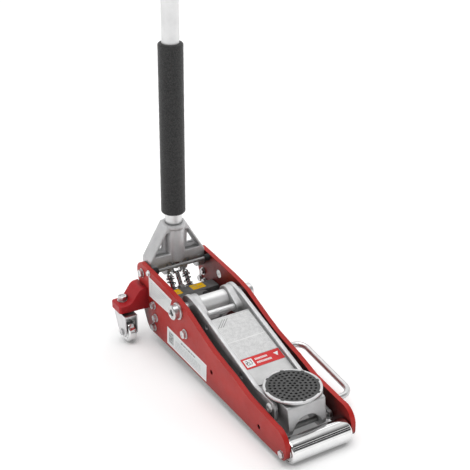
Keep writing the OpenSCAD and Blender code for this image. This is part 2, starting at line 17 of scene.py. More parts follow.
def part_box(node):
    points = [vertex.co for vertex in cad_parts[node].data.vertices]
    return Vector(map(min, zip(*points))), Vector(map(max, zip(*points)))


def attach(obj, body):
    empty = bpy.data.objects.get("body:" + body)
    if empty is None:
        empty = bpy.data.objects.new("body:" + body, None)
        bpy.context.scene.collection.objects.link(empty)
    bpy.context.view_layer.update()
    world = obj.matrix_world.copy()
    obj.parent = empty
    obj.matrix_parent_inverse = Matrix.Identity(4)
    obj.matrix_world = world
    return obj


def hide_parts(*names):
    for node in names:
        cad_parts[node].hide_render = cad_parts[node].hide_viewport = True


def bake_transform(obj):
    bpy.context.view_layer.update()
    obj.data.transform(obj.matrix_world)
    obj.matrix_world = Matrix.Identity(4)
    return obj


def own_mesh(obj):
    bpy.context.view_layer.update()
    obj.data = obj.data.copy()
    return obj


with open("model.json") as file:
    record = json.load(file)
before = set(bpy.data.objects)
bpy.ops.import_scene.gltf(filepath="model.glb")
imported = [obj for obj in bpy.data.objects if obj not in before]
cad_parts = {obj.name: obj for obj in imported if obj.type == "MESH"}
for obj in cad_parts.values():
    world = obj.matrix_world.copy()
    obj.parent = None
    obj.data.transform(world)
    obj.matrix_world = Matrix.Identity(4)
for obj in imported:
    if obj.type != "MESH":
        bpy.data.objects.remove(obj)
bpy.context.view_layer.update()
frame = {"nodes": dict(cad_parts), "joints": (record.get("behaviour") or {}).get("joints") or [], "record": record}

MM = 0.001
JOINTS = {j["name"]: j for j in frame["joints"]}
BODY_OF = {n: body for body, nodes in frame["record"]["behaviour"]["bodies"].items() for n in nodes}
SLOT_OF = {s["node"]: s["material_slot"] for s in frame["record"]["subparts"]}
SADDLE_AXIS = Vector(JOINTS["saddle_swivel"]["pos_m"])
YOKE_PIVOT = Vector(JOINTS["handle_pump"]["pos_m"])
MILLIMETRES = Matrix.Scale(MM, 4)
OUTWARD = Matrix.Rotation(math.radians(90), 4, "Y")
INWARD = Matrix.Rotation(math.radians(-90), 4, "Y")
PLATE_IN, PLATE_OUT = (corner.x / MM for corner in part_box("right_side_plate"))


def tilted(origin, axis):
    """Frame in millimetres at origin whose local Z follows axis, which has no X part."""
    angle = math.atan2(-axis[1], axis[2])
    return Matrix.Translation(origin) @ Matrix.Rotation(angle, 4, "X") @ MILLIMETRES


HANDLE = tilted(YOKE_PIVOT, JOINTS["handle_twist"]["axis"])
PUMP_AXIS = Vector(JOINTS["release_turn"]["axis"])
PUMP = tilted(YOKE_PIVOT, PUMP_AXIS)


def extent(points):
    return Vector(map(min, zip(*points))), Vector(map(max, zip(*points)))


def solids(node):
    """The corners of each separate solid of a CAD node, in millimetres."""
    work = bmesh.new()
    work.from_mesh(frame["nodes"][node].data)
    bmesh.ops.remove_doubles(work, verts=work.verts, dist=1e-6)
    work.verts.index_update()
    seen = set()
    found = []
    for first in work.verts:
        if first.index in seen:
            continue
        seen.add(first.index)
        group, to_do = [], [first]
        while to_do:
            here = to_do.pop()
            group.append(here.co / MM)
            for edge in here.link_edges:
                other = edge.other_vert(here)
                if other.index not in seen:
                    seen.add(other.index)
                    to_do.append(other)
        found.append(group)
    work.free()
    return found


def right_solids(node):
    """(low, high) corners of a CAD node's solids on the right, in millimetres."""
    return [(low, high) for low, high in map(extent, solids(node)) if high.x > 0]


def upper_face(node, points):
    """Frame in millimetres in the middle of a flat solid's upper face, with local Y up its slope,
    and half its width and length."""
    faces = frame["nodes"][node].data.polygons
    normal = max(faces, key=lambda f: f.area * (f.normal.z > 0.5)).normal
    turn = Matrix.Rotation(math.atan2(-normal.y, normal.z), 4, "X")
    low, high = extent([turn.inverted() @ p for p in points])
    middle = Vector(((low.x + high.x) / 2, (low.y + high.y) / 2, high.z))
    where = MILLIMETRES @ turn @ Matrix.Translation(middle)
    return where, (high.x - low.x) / 2, (high.y - low.y) / 2


# ---- Meshes ----

def arc(centre, radius, start, end, steps=8):
    """Points on a circle, from start to end degrees, both included."""
    turn = [math.radians(start + (end - start) * i / steps) for i in range(steps + 1)]
    return [(centre[0] + radius * math.cos(a), centre[1] + radius * math.sin(a)) for a in turn]


def circle(centre, radius, steps=32):
    return arc(centre, radius, 0, 360, steps)[:-1]


def area_of(loop):
    return sum(a[0] * b[1] - b[0] * a[1] for a, b in zip(loop, loop[1:] + loop[:1])) / 2


def left_offset(loop, distance):
    """The loop moved to the left of its own direction by distance, with mitred corners."""
    moved = []
    for i, here in enumerate(loop):
        p, q, r = Vector(loop[i - 1]), Vector(here), Vector(loop[(i + 1) % len(loop)])
        a, b = (q - p).normalized(), (r - q).normalized()
        na, nb = Vector((-a.y, a.x)), Vector((-b.y, b.x))
        moved.append(tuple(q + distance * (na + nb) / max(1 + na.dot(nb), 0.3)))
    return moved


def round_ring(radius, height, steps=36):
    return [(x, y, height) for x, y in circle((0, 0), radius, steps)]


def hexagon(width, height, turn=0.0, steps=36):
    """Hexagon across flats as a ring of points."""
    points = []
    for k in range(steps):
        a = math.tau * k / steps
        reach = width / 2 / math.cos((a + math.pi / 6) % (math.pi / 3) - math.pi / 6)
        points.append((reach * math.cos(a + turn), reach * math.sin(a + turn), height))
    return points


class Shape:
    """A mesh under construction. Each method adds one closed shell, and paint is the number of
    the material that the next faces take."""

    def __init__(self):
        self.mesh = bmesh.new()
        self.paint = 0

    def ring(self, points, matrix):
        return [self.mesh.verts.new(matrix @ Vector(p)) for p in points]

    def bridge(self, low, high):
        for i in range(len(low)):
            j = (i + 1) % len(low)
            self.face(low[i], low[j], high[j], high[i])

    def face(self, *corners):
        apart = list(dict.fromkeys(corners))
        if len(apart) > 2:
            self.mesh.faces.new(apart).material_index = self.paint

    def lathe(self, profile, matrix, sides=64, closed=False):
        """Turned solid about local Z. profile is (radius, height) from one end to the other, and
        closed joins its last point to its first, as for a tube."""
        rings = []
        for radius, height in profile:
            if radius == 0:
                rings.append(self.ring([(0, 0, height)], matrix) * sides)
            else:
                rings.append(self.ring(round_ring(radius, height, sides), matrix))
        for low, high in zip(rings, rings[1:] + (rings[:1] if closed else [])):
            self.bridge(low, high)

    def slab(self, outline, low, high, matrix, holes=(), edge=0.0, steps=3):
        """Flat plate between local heights low and high, with rounded edges and through holes."""
        loops = [outline if area_of(outline) > 0 else outline[::-1]]
        loops += [h[::-1] if area_of(h) > 0 else h for h in holes]
        turn = [math.pi / 2 * i / steps for i in range(steps + 1)] if edge else [math.pi / 2]
        levels = [(edge * (1 - math.sin(a)), low + edge * (1 - math.cos(a))) for a in turn]
        levels += [(inset, low + high - z) for inset, z in reversed(levels)]
        caps = ([], [])
        for loop in loops:
            rings = []
            for inset, z in levels:
                moved = left_offset(loop, inset) if inset > 1e-9 else loop
                rings.append(self.ring([(x, y, z) for x, y in moved], matrix))
            for a, b in zip(rings, rings[1:]):
                self.bridge(a, b)
            caps[0].append(rings[0])
            caps[1].append(rings[-1])
        inverse = matrix.inverted()
        for rings, flip in ((caps[0], True), (caps[1], False)):
            flat = [[(inverse @ v.co).xy.to_3d() for v in r] for r in rings]
            corners = [v for r in rings for v in r]
            for a, b, c in tessellate_polygon(flat):
                order = (c, b, a) if flip else (a, b, c)
                self.face(*(corners[i] for i in order))

    def sweep(self, path, radius, sides=16):
        """Round rod along a path of points, with flat ends. radius is one number or one for each
        point, and both are in metres."""
        radii = radius if hasattr(radius, "__len__") else [radius] * len(path)
        side = None
        rings = []
        for i, here in enumerate(path):
            ahead = (path[min(i + 1, len(path) - 1)] - path[max(i - 1, 0)]).normalized()
            if side is None:
                side = ahead.orthogonal()
            side = (side - ahead * side.dot(ahead)).normalized()
            other = ahead.cross(side)
            rings.append([self.mesh.verts.new(here + radii[i] * (x * side + y * other))
                          for x, y in circle((0, 0), 1, sides)])
        for a, b in zip(rings, rings[1:]):
            self.bridge(a, b)
        self.face(*rings[0][::-1])
        self.face(*rings[-1])

    def stack(self, rings, matrix, closed=False):
        """Rings of points with equal counts, joined one after another. Ends are capped, or closed
        joins the last ring to the first."""
        made = [self.ring(r, matrix) for r in rings]
        for a, b in zip(made, made[1:] + (made[:1] if closed else [])):
            self.bridge(a, b)
        if not closed:
            self.face(*made[0][::-1])
            self.face(*made[-1])

    def hex_head(self, width, height, matrix, turn=0.0, bore=0.0):
        """Hexagonal head on local Z = 0, width across flats, with chamfered corners and a dished
        top, or a nut when it has a bore."""
        top = width / 2 * 0.96
        sides = hexagon(width, 0, turn)
        lower = [(x, y, height - (math.hypot(x, y) - top) * 0.5) for x, y, _ in sides]
        rings = [sides, lower, round_ring(top, height)]
        if bore:
            self.stack([round_ring(bore, 0)] + rings + [round_ring(bore, height)], matrix, True)
        else:
            dish = width * 0.33
            rings += [round_ring(dish, height), round_ring(dish * 0.92, height * 0.86)]
            self.stack(rings, matrix)

    def prism(self, corners, lift):
        """Thin plate on flat corners, in metres, as thick as lift."""
        low = [self.mesh.verts.new(c) for c in corners]
        high = [self.mesh.verts.new(c + lift) for c in corners]
        self.bridge(low, high)
        self.face(*low[::-1])
        self.face(*high)

    def add_node(self, node):
        """A CAD node's own mesh, welded and with its flat faces whole."""
        self.mesh.from_mesh(frame["nodes"][node].data)
        bmesh.ops.remove_doubles(self.mesh, verts=self.mesh.verts, dist=1e-6)
        bmesh.ops.dissolve_limit(self.mesh, angle_limit=math.radians(0.5),
                                 use_dissolve_boundaries=False,
                                 verts=self.mesh.verts, edges=self.mesh.edges)

    def mirror_x(self):
        """Adds the mirror image of everything so far in the plane X = 0."""
        everything = self.mesh.verts[:] + self.mesh.edges[:] + self.mesh.faces[:]
        made = bmesh.ops.duplicate(self.mesh, geom=everything)["geom"]
        for v in made:
            if isinstance(v, bmesh.types.BMVert):
                v.co.x = -v.co.x
        faces = [f for f in made if isinstance(f, bmesh.types.BMFace)]
        bmesh.ops.reverse_faces(self.mesh, faces=faces)

    def object(self, name, finish, sharp=35):
        """Closes the work: one smooth-shaded object with its hard edges marked. finish is a
        material, or one for each paint number."""
        finishes = finish if isinstance(finish, (list, tuple)) else [finish]
        bmesh.ops.recalc_face_normals(self.mesh, faces=self.mesh.faces)
        for f in self.mesh.faces:
            f.smooth = True
            f.material_index = min(f.material_index, len(finishes) - 1)
        for e in self.mesh.edges:
            e.smooth = e.is_manifold and e.calc_face_angle(0) < math.radians(sharp)
        data = bpy.data.meshes.new(name)
        self.mesh.to_mesh(data)
        self.mesh.free()
        for one in finishes:
            data.materials.append(one)
        made = bpy.data.objects.new(name, data)
        bpy.context.scene.collection.objects.link(made)
        return made


def modifier(piece, kind, **settings):
    made = piece.modifiers.new(kind.lower(), kind)
    for key, value in settings.items():
        setattr(made, key, value)
    return made


def stands_for(piece, node, ride=True):
    """The piece replaces a CAD node, which it hides, and rides the node's body unless ride is False."""
    if ride:
        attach(piece, BODY_OF[node])
    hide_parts(node)
    return piece


def finished(shape, node, finish, sharp=35, weighted=True):
    piece = shape.object(node + "_look", finish, sharp)
    if weighted:
        modifier(piece, "WEIGHTED_NORMAL", keep_sharp=True)
    return stands_for(piece, node)


def rounded(piece, edge, steps=2):
    """Rounds a piece's hard edges by edge millimetres."""
    modifier(piece, "BEVEL", width=edge * MM, segments=steps, limit_method="ANGLE",
             angle_limit=math.radians(32), use_clamp_overlap=True)
    modifier(piece, "WEIGHTED_NORMAL", keep_sharp=False)


def machined(node, finish, edge=0.5):
    """A CAD node with its hard edges rounded."""
    shape = Shape()
    shape.add_node(node)
    piece = shape.object(node + "_look", finish, 30)
    rounded(piece, edge)
    return stands_for(piece, node)


def cast(node, finish, voxel=1.0, rounds=8):
    """A CAD node with the soft corners and fillets of a casting."""
    shape = Shape()
    shape.add_node(node)
    piece = shape.object(node + "_look", finish)
    modifier(piece, "REMESH", mode="VOXEL", voxel_size=voxel * MM, use_smooth_shade=True)
    modifier(piece, "SMOOTH", factor=0.5, iterations=rounds)
    return stands_for(piece, node)


# ---- Materials ----

def add_to(tree, kind, inputs=None, **settings):
    """A new node in a tree, with each input linked when it is given a socket, or else set."""
    node = tree.nodes.new(kind)
    for key, value in settings.items():
        setattr(node, key, value)
    for key, value in (inputs or {}).items():
        if isinstance(value, bpy.types.NodeSocket):
            tree.links.new(value, node.inputs[key])
        else:
            node.inputs[key].default_value = value
    return node


class Finish:
    """A node material made from textures in the object's own space, through one Principled BSDF."""

    def __init__(self, name, constants):
        self.material = bpy.data.materials.new(name)
        self.material.use_nodes = True
        self.tree = self.material.node_tree
        self.shader = self.tree.nodes["Principled BSDF"]
        for key, value in constants.items():
            self.shader.inputs[key].default_value = value
        self.space = self.add("ShaderNodeTexCoord").outputs["Object"]

    def add(self, kind, inputs=None, **settings):
        return add_to(self.tree, kind, inputs, **settings)

    def stretched(self, scale):
        return self.add("ShaderNodeMapping", {"Vector": self.space, "Scale": scale}).outputs[0]

    def noise(self, scale, detail=3.0, rough=0.5, stretch=None):
        where = self.stretched(stretch) if stretch else self.space
        return self.add("ShaderNodeTexNoise", {"Vector": where, "Scale": scale, "Detail": detail,
                                               "Roughness": rough}).outputs[0]

    def cells(self, scale):
        return self.add("ShaderNodeTexVoronoi",
                        {"Vector": self.space, "Scale": scale}).outputs["Distance"]

    def remap(self, value, low, high, start=0.3, end=0.7):
        """low to high as the value goes from start to end, which suit a noise texture."""
        return self.add("ShaderNodeMapRange", {"Value": value, "From Min": start, "From Max": end,
                                               "To Min": low, "To Max": high}).outputs[0]

    def mix(self, factor, a, b):
        node = self.add("ShaderNodeMix", data_type="RGBA")
        for socket, value in ((node.inputs[0], factor), (node.inputs[6], a), (node.inputs[7], b)):
            if isinstance(value, bpy.types.NodeSocket):
                self.tree.links.new(value, socket)
            else:
                socket.default_value = value if isinstance(value, float) else (*value, 1.0)
        return node.outputs[2]

    def sum(self, a, b, share=1.0):
        scaled = self.add("ShaderNodeMath", {0: b, 1: share}, operation="MULTIPLY").outputs[0]
        return self.add("ShaderNodeMath", {0: a, 1: scaled}, operation="ADD").outputs[0]

    def colour(self, value):
        self.tree.links.new(value, self.shader.inputs["Base Color"])
        return self

    def open_air(self, reach, samples):
        """1 in the open, towards 0 where other surfaces crowd in within reach metres."""
        return self.add("ShaderNodeAmbientOcclusion", {"Distance": reach},
                        samples=samples).outputs["AO"]

    def painted_shade(self, value, left):
        """Painted shade: darker deep inside the jack, where other surfaces crowd in: left is how much colour
        shows.
        """
        return self.mix(self.remap(self.open_air(0.12, 4), left, 1, 0.25, 0.68), grey(0.008), value)

    def roughness(self, value):
        self.tree.links.new(value, self.shader.inputs["Roughness"])
        return self

    def bump(self, height, depth):
        """depth is the height of the relief in metres."""
        node = self.add("ShaderNodeBump", {"Height": height, "Distance": depth, "Strength": 1.0})
        self.tree.links.new(node.outputs[0], self.shader.inputs["Normal"])
        return self


def grey(v):
    return (v, v, v)


def enamel(name, deep, light):
    """Sprayed and baked enamel: slow colour drift, orange peel and a light clear skin."""
    f = Finish(name, {"Specular IOR Level": 0.22, "Coat Weight": 0.06, "Coat Roughness": 0.15})
    # The colour is darkened where other surfaces crowd in: painted shade.
    f.colour(f.painted_shade(f.mix(f.remap(f.noise(14, 4), 0, 1), deep, light), 0.12))
    f.roughness(f.remap(f.noise(60, 5, 0.6), 0.34, 0.46))
    return f.bump(f.sum(f.noise(420, 2), f.noise(70, 3), 0.6), 0.00009).material


def bare_metal(name, dark, light, rough, grain, depth, stretch=None, metallic=1.0, left=0.7):
    """Metal with a grain: cast, ground, plated or brushed by its roughness and stretch."""
    f = Finish(name, {"Metallic": metallic})
    # The colour is darkened where other surfaces crowd in, down to left of itself: painted shade.
    f.colour(f.painted_shade(f.mix(f.remap(f.noise(30, 5, 0.6), 0, 1), dark, light), left))
    f.roughness(f.remap(f.noise(90, 5, 0.65, stretch), rough[0], rough[1]))
    return f.bump(f.noise(grain, 4, 0.6, stretch), depth).material


def painted_iron(name, dark, light):
    """Rough paint over cast iron."""
    f = Finish(name, {"Specular IOR Level": 0.4})
    f.colour(f.mix(f.remap(f.noise(50, 5), 0, 1), dark, light))
    f.roughness(f.remap(f.noise(120, 4), 0.45, 0.7))
    return f.bump(f.sum(f.noise(300, 4, 0.6), f.noise(60, 3), 1.5), 0.0003).material


def foam_skin(name):
    """Closed-cell foam: mottled cells and a faint dusty sheen."""
    f = Finish(name, {"Sheen Weight": 0.35, "Sheen Roughness": 0.5,
                      "Sheen Tint": (0.7, 0.7, 0.7, 1.0), "Specular IOR Level": 0.25})
    speckle = f.sum(f.cells(700), f.noise(260, 4, 0.7), 1.2)
    f.colour(f.mix(f.remap(speckle, 0, 1, 0.7, 1.4), grey(0.018), grey(0.055)))
    f.roughness(f.remap(f.noise(200), 0.8, 0.95))
    return f.bump(speckle, 0.0003).material


def rubber(name, dark, light):
    f = Finish(name, {"Specular IOR Level": 0.35})
    f.colour(f.mix(f.remap(f.noise(80, 5), 0, 1), grey(dark), grey(light)))
    f.roughness(f.remap(f.noise(150, 4), 0.6, 0.82))
    return f.bump(f.noise(900, 3), 0.00006).material


def film(name, deep, light, rough=(0.3, 0.42), shine=0.4):
    """Printed adhesive film."""
    f = Finish(name, {"Specular IOR Level": shine})
    f.colour(f.mix(f.remap(f.noise(45, 4), 0, 1), deep, light))
    f.roughness(f.remap(f.noise(110, 4), *rough))
    return f.bump(f.noise(150, 3), 0.00005).material


def speckled(name):
    """Off-white textured sheet with a fine grey grain."""
    f = Finish(name, {"Specular IOR Level": 0.35})
    grain = f.sum(f.noise(850, 4, 0.75), f.noise(160, 3, 0.6), 0.5)
    f.colour(f.mix(f.remap(grain, 0, 1, 0.62, 0.92), grey(0.62), grey(0.84)))
    f.roughness(f.remap(f.noise(200, 4), 0.45, 0.65))
    return f.bump(grain, 0.0002).material


RED = enamel("red_enamel", (0.40, 0.014, 0.011), (0.49, 0.022, 0.017))
GLOSS_RED = enamel("gloss_red_enamel", (0.38, 0.004, 0.008), (0.48, 0.008, 0.014))
CAST = bare_metal("cast_aluminium", (0.55, 0.55, 0.555), (0.67, 0.67, 0.675), (0.46, 0.60), 800,
                  0.0002, metallic=0.82)
ZINC = bare_metal("bright_zinc", (0.60, 0.60, 0.61), (0.78, 0.78, 0.78), (0.26, 0.40), 500, 0.00006)
CHROME = bare_metal("polished_chrome", grey(0.80), grey(0.90), (0.04, 0.11), 250, 0.000012)
TUBE = bare_metal("satin_tube", grey(0.68), grey(0.78), (0.34, 0.46), 300, 0.00004, (1, 1, 0.03))
BENT_ROD = bare_metal("carry_rod", grey(0.58), grey(0.70), (0.32, 0.44), 300, 0.00004)
BRIGHT_BAR = bare_metal("ground_bar", grey(0.84), grey(0.94), (0.40, 0.50), 300, 0.00003,
                        (0.04, 1, 1), metallic=0.5, left=0.95)
SHEET = bare_metal("brushed_sheet", grey(0.44), grey(0.54), (0.42, 0.54), 300, 0.00004, (1, 0.04, 1))
STEEL = bare_metal("plated_bar", grey(0.46), grey(0.60), (0.3, 0.45), 350, 0.00006, (1, 0.1, 1))
DULL_STEEL = bare_metal("dull_rod", grey(0.26), grey(0.38), (0.25, 0.38), 350, 0.00004, (0.1, 1, 1))
BLACK_STEEL = bare_metal("oiled_wire", grey(0.03), grey(0.07), (0.28, 0.42), 500, 0.00004)
IRON = painted_iron("block_paint", grey(0.11), grey(0.17))
FOAM = foam_skin("foam_skin")
RUBBER = rubber("moulded_rubber", 0.066, 0.100)
BLACK = rubber("black_plastic", 0.010, 0.022)
WHITE_FILM = film("white_film", grey(0.88), grey(0.94))
PALE_FILM = film("pale_film", (0.74, 0.77, 0.775), (0.82, 0.84, 0.84))
INK = film("grey_ink", grey(0.18), grey(0.27))
FAINT_INK = film("faint_ink", (0.46, 0.49, 0.50), (0.54, 0.57, 0.58))
RED_FILM = film("red_film", (0.62, 0.010, 0.012), (0.74, 0.018, 0.018))
YELLOW_FILM = film("yellow_film", (0.94, 0.50, 0.0), (1.0, 0.62, 0.0), (0.5, 0.6), shine=0.1)
SPECKLE = speckled("speckled_sheet")

SLOT_FINISH = {
    "red_paint": RED, "roller_chrome": CHROME, "zinc_steel": ZINC, "black_plastic": BLACK,
    "cast_aluminium": CAST, "link_steel": STEEL, "sheet_aluminium": SHEET, "block_iron": IRON,
    "hard_chrome": CHROME, "spring_steel": BLACK_STEEL, "black_rubber": RUBBER, "black_foam": FOAM,
    "white_label": WHITE_FILM, "red_label": RED_FILM, "yellow_label": YELLOW_FILM,
}
for node, cad in frame["nodes"].items():
    cad.data.materials.clear()
    cad.data.materials.append(SLOT_FINISH[SLOT_OF[node]])


# ---- Plates, castings and plain machined parts ----

def side_plate(node, hole):
    """Red plate whose tie-down hole, if it has one, is bare metal inside."""
    shape = Shape()
    shape.add_node(node)
    if hole:
        centre = Vector(hole["pos_m"])
        for face in shape.mesh.faces:
            off = face.calc_center_median() - centre
            across = math.hypot(off.y, off.z)
            if abs(face.normal.x) < 0.5 and across < (hole["dims"]["r_mm"] + 1) * MM:
                face.material_index = 1
    piece = shape.object(node + "_look", [RED, BRIGHT_BAR], 30)
    rounded(piece, 0.9, 3)
    return stands_for(piece, node)


MOUNTS = {m["name"]: m for m in frame["record"]["mounts"]}
side_plate("left_side_plate", None)
side_plate("right_side_plate", MOUNTS["tie_down_hole"])
for name in ("left_caster_bracket", "right_caster_bracket"):
    machined(name, GLOSS_RED, 1.2)
for name in ("left_lift_arm", "right_lift_arm", "saddle_carrier", "handle_yoke"):
    cast(name, CAST)
cast("power_block", IRON, 1.0, 6)

# Node: its finish and the rounding of its edges in millimetres
PLAIN = {
    "front_axle": (ZINC, 0.8), "arm_pivot_shaft": (ZINC, 0.8), "arm_rear_rod": (BRIGHT_BAR, 0.6),
    "crank_pin": (ZINC, 0.6), "carrier_link_pin": (STEEL, 0.5), "link_bars": (STEEL, 0.7),
    "reservoir_tank": (IRON, 1.2), "filler_plug": (BLACK, 0.5),
    "ram_cylinder": (IRON, 0.8), "ram_piston": (CHROME, 0.8), "release_rod": (CHROME, 0.4),
    "left_caster_fork": (ZINC, 0.6), "right_caster_fork": (ZINC, 0.6),
    "handle_set_screw": (BLACK, 0.3), "handle_drive_fork": (CHROME, 0.3),
    "lower_handle_tube": (TUBE, 0.5), "upper_handle_tube": (TUBE, 0.5),
    "handle_snap_button": (ZINC, 0.9), "handle_grip": (RUBBER, 0.4),
}
for name, (finish, edge) in PLAIN.items():
    machined(name, finish, edge)

# The arm's cover is brushed sheet with dark flanges
cover = Shape()
cover.add_node("arm_cover")
for face in cover.mesh.faces:
    face.material_index = int(abs(face.normal.x) > 0.9)
piece = cover.object("arm_cover_look", [SHEET, BLACK_STEEL], 30)
rounded(piece, 0.7)
stands_for(piece, "arm_cover")


# ---- Turned parts ----

def seated(y, z, x, facing):
    """Frame in millimetres on a seat at x, whose local Z points OUTWARD or INWARD along X."""
    return MILLIMETRES @ Matrix.Translation((x, y, z)) @ facing


def cross_frame(y, z):
    """Frame in millimetres whose local Z is X itself."""
    return seated(y, z, 0, OUTWARD)


def middle_yz(low, high):
    return (low.y + high.y) / 2, (low.z + high.z) / 2


def turned_across(node, finish, ends, chamfer, bore=0.0, sides=64):
    """Bar, roller or tube about X, as long and thick as its CAD node. ends gives the profile of
    one end as (radius, depth) points."""
    low, high = (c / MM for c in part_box(node))
    half = [(r, high.x - depth) for r, depth in ends((high.z - low.z) / 2, chamfer)]
    outline = [(bore, low.x)] + [(r, -x) for r, x in half] + half[::-1] + [(bore, high.x)]
    shape = Shape()
    shape.lathe(outline, cross_frame(*middle_yz(low, high)), sides, bool(bore))
    return finished(shape, node, finish, 40)


def chamfered(radius, chamfer):
    return [(radius - chamfer, 0), (radius, chamfer)]


def roller_end(radius, rounding):
    """Recessed hub face, then a rounded shoulder."""
    return [(12, 0), (12.6, 1.2), (15.4, 1.2), (16, 0)] + [
        (x, -y) for x, y in arc((radius - rounding, -rounding), rounding, 90, 0, 8)]


turned_across("front_roller", CHROME, roller_end, 4.0, 7.1, 128)
turned_across("arm_pivot_tube", BRIGHT_BAR, chamfered, 0.8, 12.1)
turned_across("cross_rod", DULL_STEEL, chamfered, 0.4, 0, 32)

cap = Shape()
for low, high in right_solids("cross_rod_caps"):
    edge, inner = (high.z - low.z) / 2, low.x + 0.2
    cap.lathe([(3.5, high.x), (edge, high.x), (edge, inner + 3)] +
              [(x, inner + 3 - y) for x, y in arc((edge - 3, 0), 3, 0, 90, 6)][1:] + [(3.5, inner)],
              cross_frame(*middle_yz(low, high)), 48, True)
cap.mirror_x()
finished(cap, "cross_rod_caps", BLACK)


def wheel(node, other):
    """Dished steel wheel with a rounded tread, and its mirror image for the other side."""
    low, high = (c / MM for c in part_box(node))
    radius = (high.z - low.z) / 2
    x = (low.x + high.x) / 2
    half = [(3.1, 9.2), (5.8, 9.2), (6.6, 8.4), (6.8, 4.6), (9, 3.6), (13.4, 4.4), (15.2, 7.2),
            (16.2, 7.9)]
    half += [(a, b + 4.4) for a, b in arc((radius - 3.5, 0), 3.5, 90, 0, 6)]
    profile = [(r, -d) for r, d in half] + [(r, d) for r, d in reversed(half)]
    for name, place in ((node, x), (other, -x)):
        shape = Shape()
        shape.lathe(profile, seated(*middle_yz(low, high), place, OUTWARD), 96, True)
        finished(shape, name, CHROME, 40)


wheel("right_caster_wheel", "left_caster_wheel")


# ---- Fasteners ----

rng = random.Random(7)
WASHER = 1.2


def washer(shape, where, radius, height=WASHER, edge=0.25):
    shape.stack([round_ring(radius - edge, 0), round_ring(radius, edge),
                 round_ring(radius, height - edge), round_ring(radius - edge, height)], where)


def hex_bolts(node, shank):
    """A head for each CAD bolt on both side plates, with a washer and shank where it has them."""
    shape = Shape()
    for low, high in right_solids(node):
        y, z = middle_yz(low, high)
        reach = (high.z - low.z) / 2
        seat = PLATE_OUT
        if low.x < seat - 0.5:
            shape.lathe([(0, low.x), (shank - 0.4, low.x), (shank, low.x + 0.4), (shank, seat),
                         (0, seat)], cross_frame(y, z), 32)
            washer(shape, seated(y, z, seat, OUTWARD), reach)
            seat += WASHER
            reach -= 1.2
        shape.hex_head(reach * math.sqrt(3), high.x - seat, seated(y, z, seat, OUTWARD),
                       rng.uniform(0, 1))
    shape.mirror_x()
    return finished(shape, node, ZINC)


hex_bolts("frame_bolts", 4.0)
hex_bolts("link_pivot_bolts", 5.0)
hex_bolts("yoke_pivot_bolts", 6.0)

# Flanged socket nuts on the ends of the arm's pivot shaft
nut = Shape()
for low, high in right_solids("arm_pivot_nuts"):
    reach, height = (high.z - low.z) / 2, high.x - PLATE_OUT
    bore, body = 12.1, reach - 2.4
    outside = [(bore, 0), (reach, 0), (reach, 2.4), (reach - 0.6, 3), (body, 3),
               (body, height - 1.4), (body - 1.4, height), (9.6, height), (9.2, height - 1)]
    inside = [(5, height - 6), (5, height - 6.4), (bore, 8)]
    nut.stack([round_ring(r, z, 72) for r, z in outside] +
              [hexagon(12.2, height - depth, 0.3, 72) for depth in (1, 5)] +
              [round_ring(r, z, 72) for r, z in inside],
              seated(*middle_yz(low, high), PLATE_OUT, OUTWARD), True)
nut.mirror_x()
finished(nut, "arm_pivot_nuts", ZINC)

# The casters' brackets are bolted on from inside the plates
inner = Shape()
for low, high in right_solids("caster_bracket_bolts"):
    y, z = middle_yz(low, high)
    inner.lathe([(0, PLATE_IN), (4, PLATE_IN), (4, high.x - 0.4), (3.6, high.x), (0, high.x)],
                cross_frame(y, z), 32)
    washer(inner, seated(y, z, PLATE_IN, INWARD), 7.6)
    seat = PLATE_IN - WASHER
    inner.hex_head(11.1, seat - low.x, seated(y, z, seat, INWARD), rng.uniform(0, 1))
inner.mirror_x()
finished(inner, "caster_bracket_bolts", ZINC)


def caster_swivels():
    """Kingpins: washer and head above the bracket, race and nut below it."""
    pin = Vector(JOINTS["right_caster_swivel"]["pos_m"]) / MM
    low, high = right_solids("caster_swivel_bolts")[0]
    broad, thick, race = 9.6, 1.4, 11

    def lifted(z):
        return MILLIMETRES @ Matrix.Translation((pin.x, pin.y, z))

    rim = [p.z for solid in solids("caster_swivel_bolts") for p in solid
           if abs(math.hypot(p.x - pin.x, p.y - pin.y) - broad) < 0.1]
    foot = min(rim)
    shape = Shape()
    shape.lathe([(0, low.z), (4.6, low.z), (5, low.z + 0.5), (5, foot), (0, foot)], lifted(0), 32)
    washer(shape, lifted(foot), broad, thick)
    shape.hex_head(15.2, high.z - foot - thick, lifted(foot + thick), 0.4)
    shape.lathe([(5.1, 0.3), (race - 0.6, 0.3), (race, 0.8), (race, 2.6), (race - 0.6, 3.2),
                 (5.1, 3.2)], lifted(pin.z), 48, True)
    shape.hex_head(13, 6, lifted(low.z), 0.1, 5.1)
    shape.mirror_x()
    return finished(shape, "caster_swivel_bolts", ZINC)


caster_swivels()

AXLE_HEAD = 3.6
for name, side in (("right_caster_axle", 1), ("left_caster_axle", -1)):
    shape = Shape()
    low, high = (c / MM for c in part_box("right_caster_axle"))
    y, z = middle_yz(low, high)
    start, stop = low.x + AXLE_HEAD, high.x - AXLE_HEAD
    shape.lathe([(0, start), (3, start), (3, stop), (0, stop)], cross_frame(y, z), 32)
    for seat, facing in ((stop, OUTWARD), (start, INWARD)):
        shape.hex_head(11.0, AXLE_HEAD, seated(y, z, seat, facing), 0.2)
    for v in shape.mesh.verts:
        v.co.x *= side
    finished(shape, name, ZINC)

nuts = Shape()
for low, high in right_solids("carry_handle_nuts"):
    nuts.hex_head((high.z - low.z) * math.sqrt(3) / 2, high.x - low.x,
                  seated(*middle_yz(low, high), low.x, OUTWARD), math.pi / 6, 5.6)
finished(nuts, "carry_handle_nuts", ZINC)

